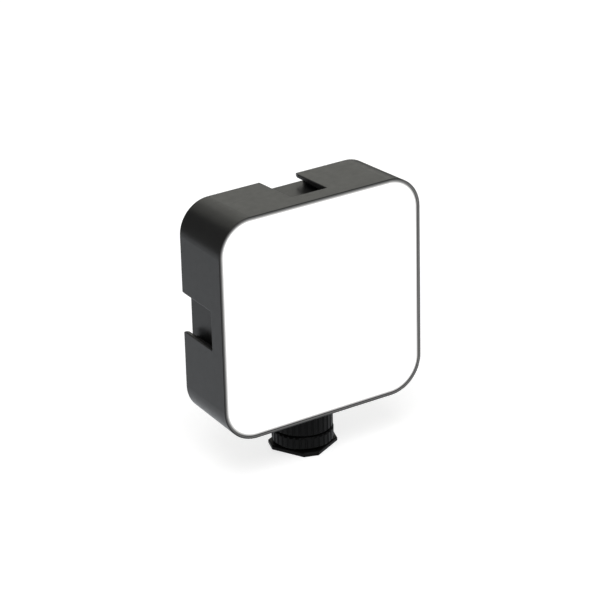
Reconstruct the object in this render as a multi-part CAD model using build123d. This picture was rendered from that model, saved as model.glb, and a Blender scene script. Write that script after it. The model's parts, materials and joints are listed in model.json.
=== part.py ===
"""On-camera LED panel light: square moulded head with three accessory shoes, on a two-nut shoe adapter.

Millimetres. +Z is up and the lit face looks along -Y. The origin is the centre of the shoe foot's
underside, on the axis of the adapter's 1/4 inch screw.
"""

import os
from math import atan2, cos, degrees, pi, radians, sin, tan

from build123d import *

# ---- Driving dimensions: the head ----
HEAD_SIZE = 73.0            # width and height of the lit face
HEAD_DEPTH = 24.2
HEAD_RADIUS = 11.4          # plan radius of the four corners, at the front
DRAFT_ANGLE = 2.3           # the side walls lean in towards the back
FRONT_Y = -13.5             # the lit face, measured from the screw's axis
HEAD_FLOOR_Z = 14.5         # the head's lowest edge above the foot's underside
WALL = 1.8
BACK_WALL = 1.8
FRONT_EDGE_FILLET = 0.3
BACK_EDGE_FILLET = 0.4

# ---- Driving dimensions: the accessory shoes ----
SHOE_GAP = 12.8             # between the lips
SHOE_POCKET = 18.9          # under the lips, for an 18.6 foot
SHOE_FLOOR = 32.4           # from the head's centre to the floor of the shoe
SHOE_POCKET_HEIGHT = 2.05
SHOE_START = 6.6            # from the lit face to the end stop
SHOE_WALL = 1.5
LIP_LEAD_IN = 0.8           # sideways, over twice that length
LIP_EDGE_FILLET = 0.35

# ---- Driving dimensions: the adapter ----
FOOT_SIZE = 18.6            # fits a standard accessory shoe
FOOT_THICKNESS = 1.5
FOOT_CORNER_CUT = 3.5
FOOT_TURN = 26.0            # how far the foot is screwed round from the head's front
LOWER_NUT = {"radius": 9.85, "low": 2.1, "high": 6.2}
UPPER_NUT = {"radius": 9.7, "low": 6.55, "high": 12.7}
UPPER_SEAT_RADIUS = 7.6     # raised seat on the upper nut, which bears on the head
UPPER_SEAT_TOP = 14.3
NUT_GROOVES = 31
BUSH_RADIUS = 5.0
TURNING_GAP = 0.05          # radial clearance between a bush and what turns on it
SCREW_RADIUS = 3.175        # 1/4 inch, 20 threads to the inch
THREAD_PITCH = 1.27
THREAD_DEPTH = 0.55
SCREW_TOP_Z = 21.6
THREAD_CLEARANCE = 0.075
SCREW_HEAD_RADIUS = 5.4
SCREW_HEAD_TOP = 0.9

# ---- Stack from the lit face towards the back (depths) ----
RIM = 0.7                   # dark rim round the diffuser
DIFFUSER_FRONT = 0.3
DIFFUSER_BACK = 2.25
TAPE_BACK = 2.4
LED_BOARD_FRONT = 8.2
LED_BOARD_BACK = 9.2
BATTERY_FRONT = 9.5
BATTERY_BACK = 17.0
MAIN_BOARD_FRONT = 18.0
MAIN_BOARD_BACK = 19.0
COVER_FRONT = HEAD_DEPTH - BACK_WALL

# ---- Plan sizes inside the head ----
COLUMN_OFFSET = 27.4        # corner columns that take the board and cover screws
COLUMN_RADIUS = 3.2
COVER_HALF = 30.7
COVER_GAP = 0.05
LED_BOARD_HALF = 30.2
LED_SCREW_HEAD = 1.7
TRAY_WALL = 0.9
BOSS_RADIUS = 5.3
INSERT_RADIUS = 4.2
INSERT_TOP_Z = 23.2
INSERT_GROOVES = 24
PAD_RADIUS = 8.5
BATTERY_WIDTH = 50.0
BATTERY_HEIGHT = 40.0
BATTERY_MID = 2.0
BOARD_LOW = -22.0
BOARD_HIGH = 10.0
BOARD_HALF_WIDTH = 28.0
USB_LEVEL = -17.0
KEY_LEVEL = -14.0
KEY_SPACING = 13.0
KEY_RADIUS = 3.8
KEY_TRAVEL = 0.3
PIPE_LEVEL = -3.0
PIPE_SPACING = 4.0
BOARD_POSTS = [(x, y) for x in (-24.3, 24.3) for y in (-18.8, 7.0)]
COLUMNS = [(x * COLUMN_OFFSET, y * COLUMN_OFFSET) for x in (-1, 1) for y in (-1, 1)]

HALF = HEAD_SIZE / 2
MID_Z = HEAD_FLOOR_Z + HALF
LEAN = tan(radians(DRAFT_ANGLE))


def at_depth(depth):
    """The plane at that depth behind the lit face: x to the right, y up, normal towards the viewer."""
    return Plane(origin=(0, FRONT_Y + depth, MID_Z), x_dir=(1, 0, 0), z_dir=(0, -1, 0))


def half_at(depth):
    """Half the head's outer size at that depth."""
    return HALF - depth * LEAN


def slab(outline, front, back, taper=0.0):
    """The outline, drawn as seen from the front, made solid between two depths."""
    return extrude(at_depth(front) * outline, amount=-(back - front), taper=taper)


def block(width, height, front, back, x=0.0, y=0.0):
    return slab(Pos(x, y) * Rectangle(width, height), front, back)


def rod(radius, front, back, x=0.0, y=0.0):
    return slab(Pos(x, y) * Circle(radius), front, back)


def square(half, radius):
    return RectangleRounded(2 * half, 2 * half, radius)


def upright(radius, low, high):
    """A cylinder on the screw's axis."""
    return Pos(0, 0, low) * Cylinder(radius, high - low, align=(Align.CENTER, Align.CENTER, Align.MIN))


def ring_thread(radius, depth, low, high, outside):
    """Closed thread profile turned about the screw's axis; the ridges stand for the helix."""
    side = -1 if outside else 1
    valley = radius + side * depth
    turns = int((high - low) / THREAD_PITCH)
    points = [(0, low), (valley, low)]
    for turn in range(turns):
        base = low + (turn + 0.25) * THREAD_PITCH
        points += [(valley, base - 0.12), (radius, base + 0.22)]
        points += [(radius, base + 0.40), (valley, base + 0.74)]
    points += [(valley, high), (0, high)]
    return revolve(Plane.XZ * make_face(Polyline(*points, close=True)), axis=Axis.Z)


# ---- Housing ----

def shoe_sides():
    """Rotations that carry the top shoe to the top, left and right sides."""
    middle = Location((0, 0, MID_Z))
    return [middle * Rot(0, turn, 0) * middle.inverse() for turn in (0, -90, 90)]


def shoe_block():
    """Material round one shoe, inside the wall."""
    low = SHOE_FLOOR - SHOE_WALL
    high = half_at(HEAD_DEPTH) - 0.3
    width = SHOE_POCKET + 2 * SHOE_WALL
    return block(width, high - low, SHOE_START - SHOE_WALL, HEAD_DEPTH, y=(low + high) / 2)


def shoe_cut():
    """The T-shaped space of one shoe, open at the back."""
    past = HEAD_DEPTH + 1
    clear = 8
    pocket = block(SHOE_POCKET, SHOE_POCKET_HEIGHT, SHOE_START, past, y=SHOE_FLOOR + SHOE_POCKET_HEIGHT / 2)
    gap = block(SHOE_GAP, clear, SHOE_START, past, y=SHOE_FLOOR + clear / 2)
    narrow, wide = SHOE_GAP / 2, SHOE_GAP / 2 + LIP_LEAD_IN
    begin = HEAD_DEPTH - 2 * LIP_LEAD_IN
    mouth = Polyline((narrow, begin), (wide, past), (-wide, past), (-narrow, begin), close=True)
    plan = Plane(origin=(0, FRONT_Y, MID_Z + SHOE_FLOOR), x_dir=(1, 0, 0), z_dir=(0, 0, 1))
    return pocket + gap + extrude(plan * make_face(mouth), amount=clear)


def soften_lips(shell, side):
    """Rounds the outer edges of one shoe's two lips and of its end stop."""
    def on_mouth(edge):
        middle = side.inverse() * Pos(*(edge @ 0.5))
        x, y, z = middle.position
        along_lip = abs(abs(x) - SHOE_GAP / 2) < 0.01 and edge.length > SHOE_GAP
        along_stop = abs(x) < 0.01 and abs(y - FRONT_Y - SHOE_START) < 0.01 and edge.length > SHOE_GAP - 1
        return (along_lip or along_stop) and z > MID_Z + SHOE_FLOOR + SHOE_POCKET_HEIGHT + 0.5
    return fillet(shell.edges().filter_by(on_mouth), LIP_EDGE_FILLET)


def corner_column(x, y, front, back):
    """A screw column tied to the corner wall by a rib."""
    sign_x = 1 if x > 0 else -1
    sign_y = 1 if y > 0 else -1
    rib_mid = COLUMN_OFFSET + 2.0
    rib = Pos(sign_x * rib_mid, sign_y * rib_mid) * Rot(0, 0, 45 * sign_x * sign_y) * Rectangle(7.5, 3.0)
    return rod(COLUMN_RADIUS, front, back, x, y) + slab(rib, front, back)


def housing_shell():
    outer = slab(square(HALF, HEAD_RADIUS), 0, HEAD_DEPTH, taper=DRAFT_ANGLE)
    front_edges = outer.faces().sort_by(Axis.Y)[0].edges()
    outer = fillet(front_edges, FRONT_EDGE_FILLET)
    back_edges = outer.faces().sort_by(Axis.Y)[-1].edges()
    outer = fillet(back_edges, BACK_EDGE_FILLET)

    cavity_half = half_at(TAPE_BACK) - WALL - 0.3
    cavity = slab(square(cavity_half, HEAD_RADIUS - WALL - 0.3), TAPE_BACK, COVER_FRONT, taper=DRAFT_ANGLE)
    pocket = slab(square(HALF - RIM, HEAD_RADIUS - RIM), -1, TAPE_BACK)
    rear_opening = slab(square(COVER_HALF + COVER_GAP, 6.0), COVER_FRONT, HEAD_DEPTH + 1)
    shell = outer - cavity - pocket - rear_opening

    within_walls = square(cavity_half + 0.6, HEAD_RADIUS - WALL + 0.3)
    inside = slab(within_walls, TAPE_BACK, HEAD_DEPTH, taper=DRAFT_ANGLE)
    for x, y in COLUMNS:
        shell += corner_column(x, y, LED_BOARD_BACK, COVER_FRONT) & inside
    for side in shoe_sides():
        shell = shell + side * shoe_block() - side * shoe_cut()
        shell = soften_lips(shell, side)

    pad = upright(PAD_RADIUS, HEAD_FLOOR_Z + 0.1, HEAD_FLOOR_Z + WALL)
    boss = upright(BOSS_RADIUS, HEAD_FLOOR_Z + 0.1, INSERT_TOP_Z + 1.5)
    shell = shell + pad + boss - upright(INSERT_RADIUS + TURNING_GAP, 0, INSERT_TOP_Z + TURNING_GAP)

    for x, y in COLUMNS:
        shell -= rod(0.85, LED_BOARD_BACK - 1, LED_BOARD_BACK + 5, x, y)
        shell -= rod(0.85, COVER_FRONT - 6, COVER_FRONT + 1, x, y)
    return shell - usb_window()


def usb_window():
    """Hole through the right-hand wall for the charging plug."""
    depth = MAIN_BOARD_BACK + 1.63
    side = Plane(origin=(30, FRONT_Y + depth, MID_Z + USB_LEVEL), x_dir=(0, 0, 1), z_dir=(1, 0, 0))
    return extrude(side * SlotOverall(9.5, 3.7), amount=10)


def rear_cover():
    cover = slab(square(COVER_HALF, 5.95), COVER_FRONT, HEAD_DEPTH)
    cover = fillet(cover.faces().sort_by(Axis.Y)[-1].edges(), 0.3)
    cover -= slab(Pos(0, 13.5) * RectangleRounded(42, 17, 2), HEAD_DEPTH - 0.35, HEAD_DEPTH + 1)
    cover -= slab(Pos(0, KEY_LEVEL) * RectangleRounded(42, 13, 6), HEAD_DEPTH - 0.4, HEAD_DEPTH + 1)
    for x in key_places():
        cover -= rod(KEY_RADIUS + 0.2, COVER_FRONT - 1, HEAD_DEPTH + 1, x, KEY_LEVEL)
    for x in pipe_places():
        cover -= rod(0.9, COVER_FRONT - 1, HEAD_DEPTH + 1, x, PIPE_LEVEL)
    for x, y in BOARD_POSTS:
        cover += rod(2.0, MAIN_BOARD_BACK, COVER_FRONT, x, y)
        cover -= rod(0.65, MAIN_BOARD_BACK - 1, HEAD_DEPTH - 0.6, x, y)
    for x, y in COLUMNS:
        cover -= rod(1.15, COVER_FRONT - 1, HEAD_DEPTH + 1, x, y)
        cover -= rod(2.05, HEAD_DEPTH - 0.9, HEAD_DEPTH + 1, x, y)
    return cover


def key_places():
    return [KEY_SPACING * n for n in (-1, 0, 1)]


def pipe_places():
    return [PIPE_SPACING * (n - 1.5) for n in range(4)]


def screws(places, head_radius, head_front, head_back, tip, shank, points_back):
    """Cross-recessed screws, heads between two depths, shanks to the tip."""
    out = []
    for x, y in places:
        screw = rod(head_radius, head_front, head_back, x, y)
        top = head_front if points_back else head_back
        screw += rod(shank, min(top, tip), max(top, tip), x, y)
        deep = 0.45
        edge = (head_front - 1, head_front + deep) if points_back else (head_back - deep, head_back + 1)
        for wide, tall in ((0.35, 1.8), (1.8, 0.35)):
            screw -= block(wide * head_radius / 1.5, tall * head_radius / 1.5, *edge, x, y)
        out.append(screw)
    return Compound(children=out)


def rear_cover_screws():
    return screws(COLUMNS, 1.9, HEAD_DEPTH - 0.9, HEAD_DEPTH - 0.15, COVER_FRONT - 5, 0.8, False)


# ---- Light engine ----

def diffuser_panel():
    half = HALF - RIM - 0.05
    panel = slab(square(half, HEAD_RADIUS - RIM - 0.05), DIFFUSER_FRONT, DIFFUSER_BACK)
    return fillet(panel.faces().sort_by(Axis.Y)[0].edges(), 0.5)


def diffuser_tape():
    half = HALF - RIM - 0.15
    ring = square(half, HEAD_RADIUS - RIM - 0.15) - square(half - 1.0, HEAD_RADIUS - RIM - 1.15)
    return slab(ring, DIFFUSER_BACK, TAPE_BACK)


def funnel(start, end, half, radius):
    """Square tapering solid that goes from half[0] to half[1]; the radius is that of its first corners."""
    angle = degrees(atan2(half[0] - half[1], end - start))
    return slab(square(half[0], radius), start, end, taper=angle)


def reflector_tray():
    """White funnel that mixes the light between the LED board and the diffuser."""
    front = TAPE_BACK + 0.05
    waist = SHOE_START - SHOE_WALL - 0.2
    back = LED_BOARD_FRONT
    wide, middle, narrow = 33.3, 30.6, 30.1
    outer = funnel(front, waist, (wide, middle), 8.5) + funnel(waist, back, (middle, narrow), 5.8)
    wide, middle, narrow = (half - TRAY_WALL for half in (wide, middle, narrow))
    inner = funnel(front, waist, (wide, middle), 7.6) + funnel(waist, back, (middle, narrow), 4.9)
    tray = outer - inner
    for x, y in COLUMNS:
        tray -= rod(LED_SCREW_HEAD + 0.6, back - 1.4, back + 1, x, y)
    return tray


def led_board():
    board = slab(square(LED_BOARD_HALF, 4.5), LED_BOARD_FRONT, LED_BOARD_BACK)
    board -= block(12, 10, LED_BOARD_FRONT - 1, LED_BOARD_BACK + 1, y=-LED_BOARD_HALF)
    for x, y in COLUMNS:
        board -= rod(1.1, LED_BOARD_FRONT - 1, LED_BOARD_BACK + 1, x, y)
    return board


def led_chips():
    """Eight by eight surface-mount emitters."""
    pitch, rows = 6.6, 8
    middle = (rows - 1) / 2
    chips = []
    for row in range(rows):
        for column in range(rows):
            x, y = pitch * (column - middle), pitch * (row - middle)
            chip = block(3.5, 2.8, LED_BOARD_FRONT - 0.7, LED_BOARD_FRONT, x, y)
            chips.append(chip - rod(1.1, LED_BOARD_FRONT - 1, LED_BOARD_FRONT - 0.5, x, y))
    return Compound(children=chips)


def led_board_screws():
    head_front, tip = LED_BOARD_FRONT - 0.9, LED_BOARD_BACK + 4
    return screws(COLUMNS, LED_SCREW_HEAD, head_front, LED_BOARD_FRONT, tip, 0.8, True)


# ---- Power and control ----

def battery_cell():
    """Lithium pouch with softened edges and its folded side seams."""
    seam = 0.6
    outline = Pos(0, BATTERY_MID) * RectangleRounded(BATTERY_WIDTH - 2 * seam, BATTERY_HEIGHT, 2.0)
    cell = slab(outline, BATTERY_FRONT, BATTERY_BACK)
    cell = fillet(cell.edges().filter_by(Axis.Y, reverse=True), 1.2)
    for x in (-1, 1):
        seam_x = x * (BATTERY_WIDTH - seam) / 2
        cell += block(seam, BATTERY_HEIGHT - 6, BATTERY_FRONT + 2, BATTERY_BACK - 2, seam_x, BATTERY_MID)
    return cell


def battery_tape():
    return block(BATTERY_WIDTH - 12, BATTERY_HEIGHT - 10, LED_BOARD_BACK, BATTERY_FRONT, y=BATTERY_MID)


def battery_protection_board():
    top = BATTERY_MID + BATTERY_HEIGHT / 2
    board = block(30, 3.2, 12.6, 13.4, y=top + 1.6)
    for x in (-6, 0, 4):
        board += block(2.4, 1.6, 13.4, 14.2, x, top + 1.6)
    return board


def lead(points, radius, thickness=0.6):
    """A wire through the points (x, y, depth), bent on arcs of that radius."""
    route = [Vector(x, FRONT_Y + depth, MID_Z + y) for x, y, depth in points]
    path = FilletPolyline(*route, radius=radius)
    return sweep(Plane(origin=path @ 0, z_dir=path % 0) * Circle(thickness), path=path)


def battery_lead(x):
    """From the protection board, round the main board's top edge, down into the plug."""
    top = BATTERY_MID + BATTERY_HEIGHT / 2 + 3.2
    start, end = 13.0, 20.3
    bend = top + 3.2
    return lead([(x, top, start), (x, bend, start), (x, bend, end), (x, BOARD_HIGH + 1.5, end)], 2.4)


def battery_plug():
    return block(6.6, 4.5, 19.1, 21.9, y=BOARD_HIGH - 0.75)


def battery_header():
    body = block(8.0, 6.5, MAIN_BOARD_BACK, 22.2, y=BOARD_HIGH - 3.75)
    return body - block(6.8, 5.5, 19.05, 23, y=BOARD_HIGH - 0.25)


def led_lead(y):
    """From the LED board's back pads to the main board."""
    x, bow = 27.0, 27.6
    depths = (LED_BOARD_BACK, 11.2, 13.6, 16.0, MAIN_BOARD_FRONT)
    return lead([(bow if n == 2 else x, y, depth) for n, depth in enumerate(depths)], 1.6, 0.5)


def main_board():
    outline = RectangleRounded(2 * BOARD_HALF_WIDTH, BOARD_HIGH - BOARD_LOW, 1.5)
    board = slab(Pos(0, (BOARD_LOW + BOARD_HIGH) / 2) * outline, MAIN_BOARD_FRONT, MAIN_BOARD_BACK)
    board += block(6.0, 10.0, MAIN_BOARD_FRONT, MAIN_BOARD_BACK, x=29.5, y=USB_LEVEL)
    for x, y in BOARD_POSTS:
        board -= rod(0.95, MAIN_BOARD_FRONT - 1, MAIN_BOARD_BACK + 1, x, y)
    return board


def main_board_screws():
    head_front, tip = MAIN_BOARD_FRONT - 0.8, MAIN_BOARD_BACK + 2.6
    return screws(BOARD_POSTS, 1.5, head_front, MAIN_BOARD_FRONT, tip, 0.6, True)


def usb_plane(x):
    depth = MAIN_BOARD_BACK + 1.63
    return Plane(origin=(x, FRONT_Y + depth, MID_Z + USB_LEVEL), x_dir=(0, 0, 1), z_dir=(1, 0, 0))


def usb_c_shell():
    """Drawn steel can of the charging socket, open to the right."""
    can = extrude(usb_plane(27.6) * SlotOverall(8.94, 3.26), amount=7.3)
    return can - extrude(usb_plane(28.6) * SlotOverall(8.34, 2.66), amount=8)


def usb_c_tongue():
    tongue = extrude(usb_plane(28.6) * Rectangle(6.69, 0.7), amount=5.2)
    return tongue + extrude(usb_plane(28.6) * Rectangle(6.9, 2.2), amount=1.2)


def switch_bodies():
    bodies = []
    for x in key_places():
        body = block(5.2, 5.2, MAIN_BOARD_BACK, MAIN_BOARD_BACK + 1.6, x, KEY_LEVEL)
        bodies.append(body - rod(1.3, MAIN_BOARD_BACK + 0.1, MAIN_BOARD_BACK + 3, x, KEY_LEVEL))
    return Compound(children=bodies)


def switch_plunger(x):
    return rod(1.2, MAIN_BOARD_BACK + 0.5, MAIN_BOARD_BACK + 2.3, x, KEY_LEVEL)


def key_cap(x, mark):
    """A push button: flange inside the cover, crowned cap outside, with a raised sign."""
    seat = MAIN_BOARD_BACK + 2.3
    cap = rod(1.8, seat, COVER_FRONT - 0.7, x, KEY_LEVEL)
    cap += rod(KEY_RADIUS + 0.9, COVER_FRONT - 0.8, COVER_FRONT - 0.1, x, KEY_LEVEL)
    top = rod(KEY_RADIUS, COVER_FRONT - 0.2, HEAD_DEPTH + 0.4, x, KEY_LEVEL)
    cap += fillet(top.faces().sort_by(Axis.Y)[-1].edges(), 0.5)
    sign_depth = (HEAD_DEPTH + 0.2, HEAD_DEPTH + 0.55)
    if mark == "power":
        ring = Circle(1.5) - Circle(1.05) - Pos(0, 1.3) * Rectangle(1.3, 1.3)
        sign = slab(Pos(x, KEY_LEVEL) * ring, *sign_depth)
        sign += block(0.45, 1.6, *sign_depth, x, KEY_LEVEL + 1.2)
    else:
        sign = block(3.0, 0.6, *sign_depth, x, KEY_LEVEL)
        if mark == "plus":
            sign += block(0.6, 3.0, *sign_depth, x, KEY_LEVEL)
    return cap + sign


def indicator_leds():
    back = MAIN_BOARD_BACK + 0.6
    return Compound(children=[block(1.6, 0.8, MAIN_BOARD_BACK, back, x, PIPE_LEVEL) for x in pipe_places()])


def indicator_light_pipe():
    bar = block(4 * PIPE_SPACING, 2.6, COVER_FRONT - 0.9, COVER_FRONT, y=PIPE_LEVEL)
    for x in pipe_places():
        bar += rod(0.85, MAIN_BOARD_BACK + 0.8, HEAD_DEPTH - 0.05, x, PIPE_LEVEL)
    return bar


def power_inductor():
    x, back = -18, MAIN_BOARD_BACK + 2.8
    base = block(6.4, 6.4, MAIN_BOARD_BACK, back, x)
    return chamfer(base.edges().filter_by(Axis.Y), 1.2) - rod(2.1, back - 0.3, back + 1, x)


def driver_chips():
    chips = [
        block(5.0, 4.0, MAIN_BOARD_BACK, MAIN_BOARD_BACK + 1.5, x=-10.5, y=3.5),
        block(4.0, 4.0, MAIN_BOARD_BACK, MAIN_BOARD_BACK + 0.9, x=14.0, y=3.0),
        block(3.0, 3.0, MAIN_BOARD_BACK, MAIN_BOARD_BACK + 0.9, x=20.5, y=-6.0),
    ]
    return Compound(children=chips)


def board_passives():
    """Resistors and capacitors in two rows."""
    chips = []
    for n in range(6):
        chips.append(block(1.6, 0.8, MAIN_BOARD_BACK, MAIN_BOARD_BACK + 0.6, x=-14.0 + 2.4 * n, y=-7.2))
    for n in range(4):
        chips.append(block(2.0, 1.2, MAIN_BOARD_BACK, MAIN_BOARD_BACK + 0.9, x=10.0 + 2.9 * n, y=-1.0))
    return Compound(children=chips)


# ---- Adapter ----

def tripod_insert():
    """Knurled brass socket for the 1/4 inch screw."""
    low = HEAD_FLOOR_Z + 0.15
    body = upright(INSERT_RADIUS, low, INSERT_TOP_Z)
    groove = Cylinder(0.22, 2 * (INSERT_TOP_Z - low - 1))
    for n in range(INSERT_GROOVES):
        angle = 2 * pi * n / INSERT_GROOVES
        body -= Pos(INSERT_RADIUS * cos(angle), INSERT_RADIUS * sin(angle), low) * groove
    bore = SCREW_RADIUS + THREAD_CLEARANCE
    return body - ring_thread(bore, 0.45, low - THREAD_PITCH, INSERT_TOP_Z + THREAD_PITCH, outside=False)


def foot_plate():
    """Square shoe foot with cut corners and bevelled edges, recessed below for the screw's head."""
    outline = chamfer(Rectangle(FOOT_SIZE, FOOT_SIZE).vertices(), FOOT_CORNER_CUT)
    foot = Rot(0, 0, FOOT_TURN) * extrude(outline, amount=FOOT_THICKNESS)
    foot = chamfer(foot.faces().sort_by(Axis.Z)[-1].edges(), 0.3)
    foot = chamfer(foot.faces().sort_by(Axis.Z)[0].edges(), 0.25)
    foot -= upright(SCREW_HEAD_RADIUS + 0.05, -1, SCREW_HEAD_TOP)
    return foot - upright(SCREW_RADIUS + 0.05, -1, FOOT_THICKNESS + 1)


def foot_screw():
    """1/4 inch screw, its slotted head sunk in the foot."""
    head = upright(SCREW_HEAD_RADIUS, 0.1, SCREW_HEAD_TOP)
    head -= Rot(0, 0, FOOT_TURN) * Pos(0, 0, 0.1) * Box(12, 1.2, 0.9)
    tip_z = SCREW_TOP_Z - 0.6
    core = SCREW_RADIUS - THREAD_DEPTH
    shank = ring_thread(SCREW_RADIUS, THREAD_DEPTH, SCREW_HEAD_TOP, tip_z, outside=True)
    neck = upright(SCREW_RADIUS, SCREW_HEAD_TOP, FOOT_THICKNESS)
    tip = Cone(core, core - 0.5, 0.6, align=(Align.CENTER, Align.CENTER, Align.MIN))
    return head + neck + shank + Pos(0, 0, tip_z) * tip


def lock_nut(nut, seat_radius=0, seat_top=0):
    """Moulded thumb nut: bevelled drum with narrow grip grooves, and a raised seat if it has one."""
    radius, low, high = nut["radius"], nut["low"], nut["high"]
    drum = upright(radius, low, high)
    drum = chamfer(drum.edges().filter_by(GeomType.CIRCLE), 0.45)
    groove = Cylinder(0.45, high - low + 1)
    for n in range(NUT_GROOVES):
        angle = 2 * pi * n / NUT_GROOVES
        drum -= Pos((radius + 0.1) * cos(angle), (radius + 0.1) * sin(angle), (low + high) / 2) * groove
    if seat_radius:
        seat = upright(seat_radius, high, seat_top)
        drum += chamfer(seat.faces().sort_by(Axis.Z)[-1].edges(), 0.3)
    else:
        drum -= Pos(0, 0, high) * (Cylinder(8.2, 0.6) - Cylinder(6.4, 0.7))
    return drum - upright(BUSH_RADIUS + TURNING_GAP, low - 1, seat_top + high + 1)


def nut_bush(nut, seat_top=0):
    """Threaded brass bush in the middle of a thumb nut."""
    low, high = nut["low"], max(nut["high"], seat_top)
    bush = chamfer(upright(BUSH_RADIUS, low, high).edges().filter_by(GeomType.CIRCLE), 0.2)
    bore = SCREW_RADIUS + THREAD_CLEARANCE
    return bush - ring_thread(bore, 0.4, low - THREAD_PITCH, high + THREAD_PITCH, outside=False)


PARTS = {
    "housing_shell": housing_shell,
    "rear_cover": rear_cover,
    "rear_cover_screws": rear_cover_screws,
    "diffuser_panel": diffuser_panel,
    "diffuser_tape": diffuser_tape,
    "reflector_tray": reflector_tray,
    "led_board": led_board,
    "led_chips": led_chips,
    "led_board_screws": led_board_screws,
    "battery_cell": battery_cell,
    "battery_tape": battery_tape,
    "battery_protection_board": battery_protection_board,
    "battery_lead_positive": lambda: battery_lead(1.25),
    "battery_lead_negative": lambda: battery_lead(-1.25),
    "battery_plug": battery_plug,
    "battery_header": battery_header,
    "led_lead_positive": lambda: led_lead(3.0),
    "led_lead_negative": lambda: led_lead(0.5),
    "main_board": main_board,
    "main_board_screws": main_board_screws,
    "usb_c_shell": usb_c_shell,
    "usb_c_tongue": usb_c_tongue,
    "switch_bodies": switch_bodies,
    "plus_plunger": lambda: switch_plunger(-KEY_SPACING),
    "power_plunger": lambda: switch_plunger(0),
    "minus_plunger": lambda: switch_plunger(KEY_SPACING),
    "plus_button": lambda: key_cap(-KEY_SPACING, "plus"),
    "power_button": lambda: key_cap(0, "power"),
    "minus_button": lambda: key_cap(KEY_SPACING, "minus"),
    "indicator_leds": indicator_leds,
    "indicator_light_pipe": indicator_light_pipe,
    "power_inductor": power_inductor,
    "driver_chips": driver_chips,
    "board_passives": board_passives,
    "tripod_insert": tripod_insert,
    "foot_plate": foot_plate,
    "foot_screw": foot_screw,
    "lower_thumb_nut": lambda: lock_nut(LOWER_NUT),
    "lower_nut_bush": lambda: nut_bush(LOWER_NUT),
    "upper_thumb_nut": lambda: lock_nut(UPPER_NUT, UPPER_SEAT_RADIUS, UPPER_SEAT_TOP),
    "upper_nut_bush": lambda: nut_bush(UPPER_NUT, UPPER_SEAT_TOP),
}


def main():
    os.makedirs("parts", exist_ok=True)
    for name, build in PARTS.items():
        export_step(build(), f"parts/{name}.step")


main()
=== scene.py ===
"""Pocket LED light: camera, studio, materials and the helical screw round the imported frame. Metres."""
import json
from math import cos, pi, radians, sin

import bmesh
import bpy
from mathutils import Matrix, Vector


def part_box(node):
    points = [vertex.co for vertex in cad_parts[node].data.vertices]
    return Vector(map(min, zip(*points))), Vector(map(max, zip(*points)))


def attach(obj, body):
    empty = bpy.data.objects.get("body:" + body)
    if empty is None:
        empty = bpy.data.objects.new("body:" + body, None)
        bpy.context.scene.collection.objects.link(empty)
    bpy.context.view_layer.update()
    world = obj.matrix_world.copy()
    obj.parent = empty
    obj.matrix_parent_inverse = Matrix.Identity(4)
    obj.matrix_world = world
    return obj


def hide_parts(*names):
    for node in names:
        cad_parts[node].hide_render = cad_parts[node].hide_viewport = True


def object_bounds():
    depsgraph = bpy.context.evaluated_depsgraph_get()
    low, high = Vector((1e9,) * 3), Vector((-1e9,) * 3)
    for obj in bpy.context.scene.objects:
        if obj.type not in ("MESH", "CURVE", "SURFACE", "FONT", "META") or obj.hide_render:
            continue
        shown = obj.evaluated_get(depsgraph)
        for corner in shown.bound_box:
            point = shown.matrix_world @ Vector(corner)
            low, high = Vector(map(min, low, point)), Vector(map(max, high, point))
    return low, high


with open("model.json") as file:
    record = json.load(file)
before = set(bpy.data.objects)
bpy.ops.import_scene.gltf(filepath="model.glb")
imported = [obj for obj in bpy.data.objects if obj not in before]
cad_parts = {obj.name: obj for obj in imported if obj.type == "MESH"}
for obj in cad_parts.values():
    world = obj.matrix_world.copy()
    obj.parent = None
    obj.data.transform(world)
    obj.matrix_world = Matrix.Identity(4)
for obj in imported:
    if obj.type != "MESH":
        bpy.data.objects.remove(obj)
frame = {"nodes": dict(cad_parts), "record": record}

MM = 0.001
CAD_LOW, CAD_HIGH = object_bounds()
HEAD_LOW, HEAD_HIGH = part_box("housing_shell")
HEAD_CENTRE = (HEAD_LOW + HEAD_HIGH) / 2
HEAD_HALF = (HEAD_HIGH.x - HEAD_LOW.x) / 2
HEAD_CORNER = 11.4 * MM
KEY_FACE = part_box("plus_button")[1].y       # top of the raised sign on a key
FOOT_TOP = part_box("foot_plate")[1].z
SCREW_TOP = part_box("foot_screw")[1].z
SMOOTH_ANGLE = radians(28)                  # edges sharper than this stay crisp

# ---- Light from the diffuser: it starts, and is full, this far in from the panel's edge ----
GLOW_START, GLOW_FULL = -0.50 * MM, 1.3 * MM
GLOW_CURVE = 2.2
GLOW_STRENGTH = 1.25
GLOW_RISE = 0.1 * MM                        # the light sits this much above the middle
GLOW_TINT = (1.0, 0.995, 0.985)

# ---- Painted glow on the rim, standing in for the panel's light spilling over it: from the rim's outer edge inwards, and from its front backwards ----
PAINTED_GLOW_START, PAINTED_GLOW_FULL = 0.1 * MM, 0.8 * MM
PAINTED_GLOW_FRONT, PAINTED_GLOW_BACK = 0.2 * MM, 0.6 * MM
PAINTED_GLOW_CURVE = 1.2
PAINTED_GLOW_STRENGTH = 0.20

# ---- Camera ----
AZIMUTH = radians(-32.99)
ELEVATION = radians(23.96)
ROLL = radians(-1.47)
DISTANCE = 0.8333
AIM_RIGHT, AIM_UP = -0.474 * MM, -1.186 * MM
LENS_MM = 161.95
SENSOR_MM = 36.0
CLIP_NEAR, CLIP_FAR = 0.05, 20.0


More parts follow.
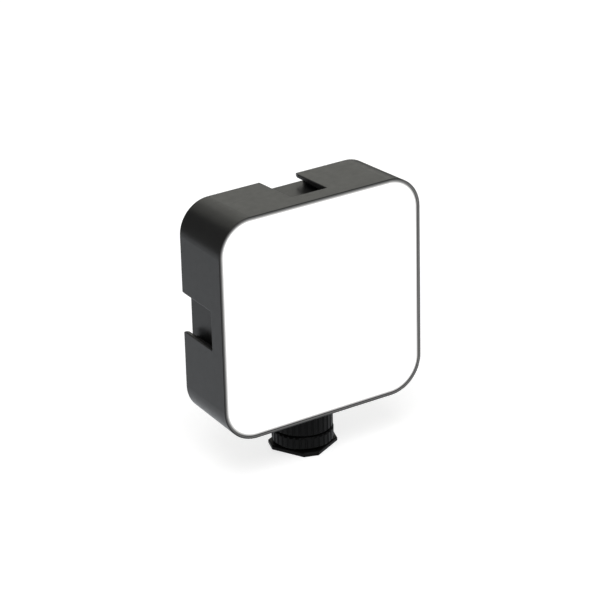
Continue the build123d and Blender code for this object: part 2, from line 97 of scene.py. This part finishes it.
def make_camera():
    """Camera above and to the left of the lit face, level but for a small roll."""
    back = Vector((sin(AZIMUTH) * cos(ELEVATION), -cos(AZIMUTH) * cos(ELEVATION), sin(ELEVATION)))
    level = Vector((cos(AZIMUTH), sin(AZIMUTH), 0))
    upright = back.cross(level)
    right = level * cos(ROLL) + upright * sin(ROLL)
    up = upright * cos(ROLL) - level * sin(ROLL)
    data = bpy.data.cameras.new("camera")
    data.lens = LENS_MM
    data.sensor_width = SENSOR_MM
    data.clip_start, data.clip_end = CLIP_NEAR, CLIP_FAR
    camera = bpy.data.objects.new("camera", data)
    turn = Matrix((right, up, back)).transposed().to_4x4()
    place = HEAD_CENTRE + back * DISTANCE + right * AIM_RIGHT + up * AIM_UP
    camera.matrix_world = Matrix.Translation(place) @ turn
    bpy.context.collection.objects.link(camera)
    bpy.context.scene.camera = camera


# ---- Node material helpers ----

SOCKETS = {
    "metallic": "Metallic",
    "ior": "IOR",
    "coat": "Coat Weight",
    "coat_rough": "Coat Roughness",
    "subsurface": "Subsurface Weight",
}


class Nodes:
    """A new node material with a few short calls for what every material here needs."""

    def __init__(self, name, **shader):
        self.material = bpy.data.materials.new(name)
        self.material.use_nodes = True
        self.tree = self.material.node_tree
        self.shader = self.tree.nodes["Principled BSDF"]
        for fact, value in shader.items():
            self.shader.inputs[SOCKETS[fact]].default_value = value
        self.place = self.add("ShaderNodeTexCoord").outputs["Object"]

    def add(self, kind, **facts):
        node = self.tree.nodes.new(kind)
        for name, value in facts.items():
            setattr(node, name, value)
        return node

    def link(self, source, target):
        self.tree.links.new(source, target)

    def noise(self, size_mm, detail=3.0, rough=0.55, stretch=None):
        """Noise whose features are about size_mm wide."""
        node = self.add("ShaderNodeTexNoise")
        node.inputs["Scale"].default_value = 1 / (size_mm * MM)
        node.inputs["Detail"].default_value = detail
        node.inputs["Roughness"].default_value = rough
        source = self.place
        if stretch:
            mapping = self.add("ShaderNodeMapping")
            mapping.inputs["Scale"].default_value = stretch
            self.link(source, mapping.inputs["Vector"])
            source = mapping.outputs["Vector"]
        self.link(source, node.inputs["Vector"])
        return node.outputs["Fac"]

    def ramp(self, factor, low, high, start=0.3, end=0.7):
        """Number that goes from low to high as the factor goes from start to end."""
        node = self.add("ShaderNodeMapRange")
        node.inputs["From Min"].default_value = start
        node.inputs["From Max"].default_value = end
        node.inputs["To Min"].default_value = low
        node.inputs["To Max"].default_value = high
        self.link(factor, node.inputs["Value"])
        return node.outputs["Result"]

    def mix(self, factor, first, second):
        """Colour between two colours or sockets."""
        node = self.add("ShaderNodeMix", data_type="RGBA")
        ends = [s for s in node.inputs if s.type == "RGBA"]
        for socket, value in zip(ends, (first, second)):
            if isinstance(value, tuple):
                socket.default_value = (*value, 1)
            else:
                self.link(value, socket)
        self.link(factor, node.inputs["Factor"])
        return next(s for s in node.outputs if s.type == "RGBA")

    def math(self, operation, a, b=None):
        """Result of a Math node on numbers or sockets."""
        node = self.add("ShaderNodeMath", operation=operation)
        for socket, value in zip(node.inputs, (a, b)):
            if isinstance(value, (int, float)):
                socket.default_value = value
            elif value is not None:
                self.link(value, socket)
        return node.outputs["Value"]

    def axes(self):
        """The three coordinates, in metres."""
        node = self.add("ShaderNodeSeparateXYZ")
        self.link(self.place, node.inputs["Vector"])
        return node.outputs

    def inset(self, half, corner):
        """Distance in from the edge of a rounded square that lies round the light, seen from the front."""
        x, _, z = self.axes()
        height = self.math("SUBTRACT", z, HEAD_CENTRE.z + GLOW_RISE)
        past = [
            self.math("MAXIMUM", self.math("SUBTRACT", self.math("ABSOLUTE", offset), half - corner), 0.0)
            for offset in (x, height)
        ]
        squares = [self.math("MULTIPLY", value, value) for value in past]
        reach = self.math("SQRT", self.math("ADD", *squares))
        return self.math("SUBTRACT", corner, reach)

    def glow(self, strength, colour=GLOW_TINT):
        """Light of its own, with a number or a socket for its strength."""
        self.shader.inputs["Emission Color"].default_value = (*colour, 1)
        target = self.shader.inputs["Emission Strength"]
        if isinstance(strength, (int, float)):
            target.default_value = strength
        else:
            self.link(strength, target)

    def colour(self, socket):
        self.link(socket, self.shader.inputs["Base Color"])

    def roughness(self, socket):
        self.link(socket, self.shader.inputs["Roughness"])

    def soft_edges(self, radius_mm):
        """Shades sharp edges as if rounded to that radius."""
        node = self.add("ShaderNodeBevel", samples=6)
        node.inputs["Radius"].default_value = radius_mm * MM
        self.link(node.outputs["Normal"], self.shader.inputs["Normal"])

    def bump(self, height, depth_mm, strength=1.0):
        """Bump on top of any bump already there."""
        node = self.add("ShaderNodeBump")
        node.inputs["Strength"].default_value = strength
        node.inputs["Distance"].default_value = depth_mm * MM
        self.link(height, node.inputs["Height"])
        target = self.shader.inputs["Normal"]
        if target.links:
            self.link(target.links[0].from_socket, node.inputs["Normal"])
        self.link(node.outputs["Normal"], target)


def plastic(name, colour, rough=(0.36, 0.46), grain_mm=0.16, grain_depth=0.004, edge_mm=0.1, **shader):
    """Injection-moulded plastic: fine spark texture, slow shade change, faint handling marks."""
    n = Nodes(name, **shader)
    n.soft_edges(edge_mm)
    lighter = tuple(c * 1.25 for c in colour)
    n.colour(n.mix(n.noise(9.0, 4.0), colour, lighter))
    n.roughness(n.ramp(n.noise(2.4, 6.0, 0.65), *rough))
    n.bump(n.noise(grain_mm, 2.0), grain_depth)
    n.bump(n.noise(14.0, 1.0), 0.03)
    return n


def moulded_plastic(*facts, **shader):
    """Plastic with nothing more to add to it."""
    return plastic(*facts, **shader).material


def key_plastic(name):
    """A key's satin plastic, its raised sign painted pale grey."""
    n = plastic(name, (0.022, 0.022, 0.022), (0.42, 0.52), 0.14, 0.003)
    base = n.shader.inputs["Base Color"].links[0].from_socket
    _, depth, _ = n.axes()
    sign = n.ramp(depth, 0.0, 1.0, KEY_FACE - 0.09 * MM, KEY_FACE - 0.05 * MM)
    n.colour(n.mix(sign, base, (0.48, 0.48, 0.47)))
    return n.material


def case_plastic(name):
    """The case's plastic, with painted glow on the front of its thin rim, standing in for the panel's light
    spilling over it.
    """
    n = plastic(name, (0.0100, 0.0100, 0.0098), (0.29, 0.36), ior=1.28)
    # Painted glow: a mask on the rim's front makes the case plastic emit light of its own, though it is no
    # lamp.
    across = n.ramp(n.inset(HEAD_HALF, HEAD_CORNER), 0.0, 1.0, PAINTED_GLOW_START, PAINTED_GLOW_FULL)
    painted_glow = n.math("POWER", across, PAINTED_GLOW_CURVE)
    _, depth, _ = n.axes()
    front = n.ramp(depth, 1.0, 0.0, HEAD_LOW.y + PAINTED_GLOW_FRONT, HEAD_LOW.y + PAINTED_GLOW_BACK)
    n.glow(n.math("MULTIPLY", n.math("MULTIPLY", painted_glow, front), PAINTED_GLOW_STRENGTH))
    return n.material


def metal(name, colour, rough=(0.25, 0.4), brush_mm=0.1, stretch=(1, 1, 8), **shader):
    """Bare or plated metal with fine turning or brushing marks."""
    n = Nodes(name, metallic=1.0, **shader)
    darker = tuple(c * 0.78 for c in colour)
    n.colour(n.mix(n.noise(1.8, 4.0), colour, darker))
    marks = n.noise(brush_mm, 3.0, 0.6, stretch)
    n.roughness(n.ramp(marks, *rough))
    n.bump(marks, 0.003)
    return n.material


def black_metal(name):
    """Black-finished metal, worn to grey where it is handled."""
    n = Nodes(name, metallic=0.1, ior=1.15)
    n.soft_edges(0.15)
    worn = n.ramp(n.noise(1.1, 6.0, 0.7), 0.0, 0.3, 0.6, 0.85)
    n.colour(n.mix(worn, (0.004, 0.004, 0.004), (0.04, 0.039, 0.035)))
    n.roughness(n.ramp(n.noise(0.5, 4.0), 0.34, 0.52))
    n.bump(n.noise(0.12, 2.0), 0.004)
    return n.material


def opal_panel(name, half, corner):
    """Lit opal plastic: even white, falling off within a millimetre or two of the rim, with painted shade
    darkening its colour there too.
    """
    n = Nodes(name, ior=1.49)
    inset = n.inset(half, corner)
    eased = n.math("POWER", n.ramp(inset, 0.0, 1.0, GLOW_START, GLOW_FULL), GLOW_CURVE)
    grain = n.ramp(n.noise(0.6, 3.0), 0.985, 1.0)
    # Painted shade: the base colour runs from near black at the rim to pale white 2 mm in, following the
    # light's fall-off.
    n.colour(n.mix(n.ramp(inset, 0.0, 1.0, 0.0, 2.0 * MM), (0.05, 0.05, 0.05), (0.86, 0.86, 0.85)))
    n.roughness(n.ramp(n.noise(0.4, 3.0), 0.30, 0.38))
    n.bump(n.noise(0.3, 2.0), 0.002)
    n.glow(n.math("MULTIPLY", n.math("MULTIPLY", eased, grain), GLOW_STRENGTH))
    return n.material


def emitter(name, colour, glow, strength):
    """Small lit emitter with an uneven phosphor."""
    n = Nodes(name)
    n.colour(n.mix(n.noise(0.35, 3.0), colour, tuple(c * 0.8 for c in colour)))
    n.roughness(n.ramp(n.noise(0.3), 0.3, 0.5))
    n.bump(n.noise(0.2), 0.004)
    n.glow(strength, glow)
    return n.material


def circuit_board(name, mask, copper_tint):
    """Solder mask over faint copper tracks."""
    n = Nodes(name, coat=0.4, coat_rough=0.25)
    cells = n.add("ShaderNodeTexVoronoi", feature="DISTANCE_TO_EDGE", distance="MANHATTAN")
    cells.inputs["Scale"].default_value = 1 / (2.2 * MM)
    n.link(n.place, cells.inputs["Vector"])
    track = n.ramp(cells.outputs["Distance"], 1.0, 0.0, 0.06, 0.1)
    n.colour(n.mix(track, mask, copper_tint))
    n.roughness(n.ramp(n.noise(0.8), 0.3, 0.42))
    n.bump(track, 0.02)
    return n.material


def foil(name):
    """Aluminium laminate of a pouch cell, slightly creased."""
    n = Nodes(name, metallic=0.85)
    n.colour(n.mix(n.noise(6.0, 4.0), (0.55, 0.56, 0.58), (0.7, 0.71, 0.73)))
    n.roughness(n.ramp(n.noise(3.0, 5.0), 0.3, 0.45))
    n.bump(n.noise(4.0, 4.0, 0.6), 0.15)
    return n.material


def insulation(name, colour):
    """Soft wire insulation."""
    n = Nodes(name)
    n.colour(n.mix(n.noise(1.2), colour, tuple(c * 0.75 for c in colour)))
    n.roughness(n.ramp(n.noise(0.5), 0.42, 0.58))
    n.bump(n.noise(0.25), 0.01)
    return n.material


def make_materials():
    panel_low, panel_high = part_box("diffuser_panel")
    panel_half = (panel_high.x - panel_low.x) / 2
    corner = panel_half - HEAD_HALF + HEAD_CORNER
    return {
        "case_plastic": case_plastic("case_plastic"),
        "cover_plastic": moulded_plastic("cover_plastic", (0.012, 0.012, 0.012), (0.44, 0.54), 0.3, 0.012),
        "opal_diffuser": opal_panel("opal_diffuser", panel_half, corner),
        "white_reflector": moulded_plastic("white_reflector", (0.72, 0.72, 0.70), (0.5, 0.6)),
        "adhesive_tape": moulded_plastic("adhesive_tape", (0.02, 0.02, 0.02), (0.6, 0.75), 0.5, 0.02),
        "led_board_core": circuit_board("led_board_core", (0.80, 0.80, 0.77), (0.70, 0.70, 0.68)),
        "led_package": emitter("led_package", (0.85, 0.62, 0.12), (1.0, 0.9, 0.7), 1.0),
        "battery_foil": foil("battery_foil"),
        "circuit_board": circuit_board("circuit_board", (0.008, 0.06, 0.02), (0.02, 0.13, 0.045)),
        "red_insulation": insulation("red_insulation", (0.42, 0.012, 0.012)),
        "black_insulation": insulation("black_insulation", (0.012, 0.012, 0.012)),
        "connector_nylon": moulded_plastic("connector_nylon", (0.70, 0.66, 0.54), (0.4, 0.5), subsurface=0.1),
        "chip_epoxy": moulded_plastic("chip_epoxy", (0.012, 0.012, 0.014), (0.5, 0.65), 0.12, 0.006),
        "ferrite": moulded_plastic("ferrite", (0.035, 0.035, 0.038), (0.55, 0.7), 0.2, 0.02),
        "ceramic_chip": moulded_plastic("ceramic_chip", (0.22, 0.15, 0.09), (0.4, 0.5), 0.1, 0.004),
        "black_screw": black_metal("black_screw"),
        "zinc_screw": metal("zinc_screw", (0.62, 0.62, 0.64)),
        "port_steel": metal("port_steel", (0.55, 0.55, 0.57), (0.2, 0.32), 0.08, (1, 6, 1)),
        "port_tongue": moulded_plastic("port_tongue", (0.01, 0.01, 0.01), (0.5, 0.6)),
        "switch_body": moulded_plastic("switch_body", (0.014, 0.014, 0.014), (0.5, 0.6)),
        "switch_plunger": moulded_plastic("switch_plunger", (0.5, 0.03, 0.02), (0.35, 0.45)),
        "key_plastic": key_plastic("key_plastic"),
        "light_pipe": moulded_plastic(
            "light_pipe", (0.62, 0.66, 0.68), (0.22, 0.32), 0.3, 0.002, subsurface=0.2
        ),
        "indicator_emitter": emitter("indicator_emitter", (0.7, 0.7, 0.55), (0.4, 0.7, 1.0), 0.3),
        "brass": metal("brass", (0.72, 0.5, 0.2), (0.22, 0.36), 0.12, (1, 1, 10)),
        "nut_plastic": moulded_plastic(
            "nut_plastic", (0.0025, 0.0025, 0.0025), (0.36, 0.46), 0.2, 0.006, 0.15, ior=1.18
        ),
        "adapter_metal": black_metal("adapter_metal"),
    }


def dress_frame(materials):
    """Gives every CAD node its slot's material, with edges kept crisp and curves smooth."""
    for part in frame["record"]["subparts"]:
        node = frame["nodes"][part["node"]]
        node.data.materials.clear()
        node.data.materials.append(materials[part["material_slot"]])
        node.data.shade_smooth()
        node.data.set_sharp_from_angle(angle=SMOOTH_ANGLE)


# ---- The adapter's screw, with a true helical thread ----

THREAD_PITCH = 1.27 * MM
THREAD_RADIUS = 3.175 * MM
THREAD_DEPTH = 0.55 * MM
TIP_TAPER = 0.6 * MM
TIP_NARROWING = 0.5 * MM
ROOT, CREST = 0.25, 0.125       # flats of the thread, as shares of the pitch
ROWS_PER_PITCH = 12
SIDES = 72
CUT_BELOW_TOP = 0.3 * MM        # the CAD screw is cut this far below the foot's top
SINK = 0.05 * MM                # and the new shank starts this much lower
WELD = 0.0005 * MM              # points closer than this are one


def ease(value):
    """Smooth step from 0 to 1."""
    value = min(max(value, 0.0), 1.0)
    return value * value * (3 - 2 * value)


def thread_height(phase):
    """Height of the ridge, from 0 at the root to 1 at the crest, over one pitch."""
    flank = (1 - ROOT - CREST) / 2
    rise = (phase - ROOT / 2) / flank
    fall = (1 - ROOT / 2 - phase) / flank
    return min(max(min(rise, fall), 0.0), 1.0)


def thread_point(row, side, low, high):
    """Point on the helical grid; rows past the ends gather on the end planes."""
    turn = side / SIDES
    z = low + (row / ROWS_PER_PITCH + turn - 1) * THREAD_PITCH
    z = min(max(z, low), high)
    fade = ease((z - low) / THREAD_PITCH) * ease((high - z) / THREAD_PITCH)
    core = THREAD_RADIUS - THREAD_DEPTH
    core -= TIP_NARROWING * max(0.0, z - high + TIP_TAPER) / TIP_TAPER
    radius = core + THREAD_DEPTH * fade * thread_height((row / ROWS_PER_PITCH) % 1)
    return radius * cos(2 * pi * turn), radius * sin(2 * pi * turn), z


def make_screw(materials):
    """Keeps the slotted head of the CAD screw and gives it a shank with a helical thread."""
    bm = bmesh.new()
    bm.from_mesh(frame["nodes"]["foot_screw"].data)
    neck = FOOT_TOP - CUT_BELOW_TOP
    everything = bm.verts[:] + bm.edges[:] + bm.faces[:]
    bmesh.ops.bisect_plane(bm, geom=everything, plane_co=(0, 0, neck), plane_no=(0, 0, 1), clear_outer=True)
    low, high = neck - SINK, SCREW_TOP
    rows = int((high - low) / THREAD_PITCH * ROWS_PER_PITCH) + 2 * ROWS_PER_PITCH
    grid = [
        [bm.verts.new(thread_point(row, side, low, high)) for side in range(SIDES)]
        for row in range(rows)
    ]
    for row in range(rows - 1):
        for side in range(SIDES - 1):
            bm.faces.new((grid[row][side], grid[row][side + 1], grid[row + 1][side + 1], grid[row + 1][side]))
    for row in range(rows - 1 - ROWS_PER_PITCH):
        over = row + ROWS_PER_PITCH
        bm.faces.new((grid[row][-1], grid[over][0], grid[over + 1][0], grid[row + 1][-1]))
    bmesh.ops.remove_doubles(bm, verts=bm.verts, dist=WELD)
    bmesh.ops.dissolve_degenerate(bm, edges=bm.edges, dist=WELD)
    bmesh.ops.holes_fill(bm, edges=bm.edges, sides=0)
    bmesh.ops.recalc_face_normals(bm, faces=bm.faces)
    mesh = bpy.data.meshes.new("adapter_screw")
    bm.to_mesh(mesh)
    bm.free()
    mesh.materials.append(materials["adapter_metal"])
    mesh.shade_smooth()
    mesh.set_sharp_from_angle(angle=SMOOTH_ANGLE)
    screw = bpy.data.objects.new("adapter_screw", mesh)
    bpy.context.collection.objects.link(screw)
    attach(screw, "adapter")
    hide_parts("foot_screw")


# ---- Studio ----

WHITE = (1.0, 1.0, 1.0)
WARM = (1.0, 1.0, 0.92)
LIGHTS = {                      # place from the head's centre, size, watts, colour
    "sky": ((-0.5, -0.9, 1.8), (1.4, 1.4), 26, WHITE),
    "back_right": ((0.62, 0.96, 0.50), (0.9, 0.7), 2.2, WARM),
    "back_top": ((-0.03, 0.96, 0.79), (0.6, 0.6), 1.1, WARM),
}
FLOOR_SPAN = 6.0
FLOOR_DROP = 0.02 * MM          # keeps the floor off the foot's underside
FLOOR_SHADE, FLOOR_GLOW = 0.50, 0.70
BACKDROP_RADIUS = 5.0
BACKDROP_LOW, BACKDROP_HIGH = -0.01, 1.2
BACKDROP_SHADE, BACKDROP_GLOW = 0.10, 1.0
BOUNCE_RADIUS = 0.30
BOUNCE_DROP = 0.01 * MM
BOUNCE_GLOW = 0.95
BOUNCE_TINT = (0.96, 0.99, 1.03)
WORLD_SHADE = 0.15


def soft_light(name, place, aim, size, watts, colour):
    """Rectangular area light that points at aim."""
    data = bpy.data.lights.new(name, "AREA")
    data.shape = "RECTANGLE"
    data.size, data.size_y = size
    data.energy = watts
    data.color = colour
    light = bpy.data.objects.new(name, data)
    light.location = place
    light.rotation_mode = "QUATERNION"
    light.rotation_quaternion = (Vector(place) - Vector(aim)).to_track_quat("Z", "Y")
    bpy.context.collection.objects.link(light)


def stage_piece(name, points, faces, shade, glow, colour=WHITE):
    """Part of the studio: a plain pale surface with a light of its own, which no gloss reflects."""
    mesh = bpy.data.meshes.new(name)
    mesh.from_pydata(points, [], faces)
    piece = bpy.data.objects.new(name, mesh)
    bpy.context.collection.objects.link(piece)
    n = Nodes(name)
    n.colour(n.mix(n.noise(400.0), (shade,) * 3, (shade + 0.02,) * 3))
    n.roughness(n.ramp(n.noise(300.0), 0.85, 0.95))
    n.glow(glow, colour)
    mesh.materials.append(n.material)
    piece.visible_glossy = False
    return piece


def circle(radius, level, sides=64):
    """Points round a level circle about the object's axis."""
    angles = [2 * pi * n / sides for n in range(sides)]
    return [(radius * cos(angle), radius * sin(angle), level) for angle in angles]


def make_floor():
    """Plain pale floor under the object."""
    signs = ((-1, -1), (1, -1), (1, 1), (-1, 1))
    corners = [(x * FLOOR_SPAN, y * FLOOR_SPAN, CAD_LOW.z - FLOOR_DROP) for x, y in signs]
    stage_piece("floor", corners, [(0, 1, 2, 3)], FLOOR_SHADE, FLOOR_GLOW)


def make_backdrop():
    """A low white wall round the floor, so that level views have no horizon."""
    low, high = circle(BACKDROP_RADIUS, BACKDROP_LOW), circle(BACKDROP_RADIUS, BACKDROP_HIGH)
    sides = len(low)
    faces = [(n, (n + 1) % sides, sides + (n + 1) % sides, sides + n) for n in range(sides)]
    stage_piece("backdrop", low + high, faces, BACKDROP_SHADE, BACKDROP_GLOW)


def make_bounce():
    """The lit patch that the object's gloss reflects in place of the floor."""
    points = circle(BOUNCE_RADIUS, CAD_LOW.z - BOUNCE_DROP)
    card = stage_piece("bounce", points, [tuple(range(len(points)))], 0.0, BOUNCE_GLOW, BOUNCE_TINT)
    card.visible_glossy = True
    card.visible_camera = False
    card.visible_diffuse = False
    card.visible_shadow = False


def make_world():
    """Dim, even surroundings for reflections."""
    world = bpy.data.worlds.new("studio")
    world.use_nodes = True
    background = world.node_tree.nodes["Background"]
    background.inputs["Color"].default_value = (WORLD_SHADE, WORLD_SHADE, WORLD_SHADE, 1)
    background.inputs["Strength"].default_value = 1.0
    bpy.context.scene.world = world


def make_studio():
    """Floor, backdrop, reflected patch, world and lights."""
    make_floor()
    make_backdrop()
    make_bounce()
    make_world()
    for name, (offset, size, watts, colour) in LIGHTS.items():
        soft_light(name, HEAD_CENTRE + Vector(offset), HEAD_CENTRE, size, watts, colour)
    bpy.context.scene.view_settings.view_transform = "Standard"


make_camera()
finishes = make_materials()
dress_frame(finishes)
make_screw(finishes)
make_studio()
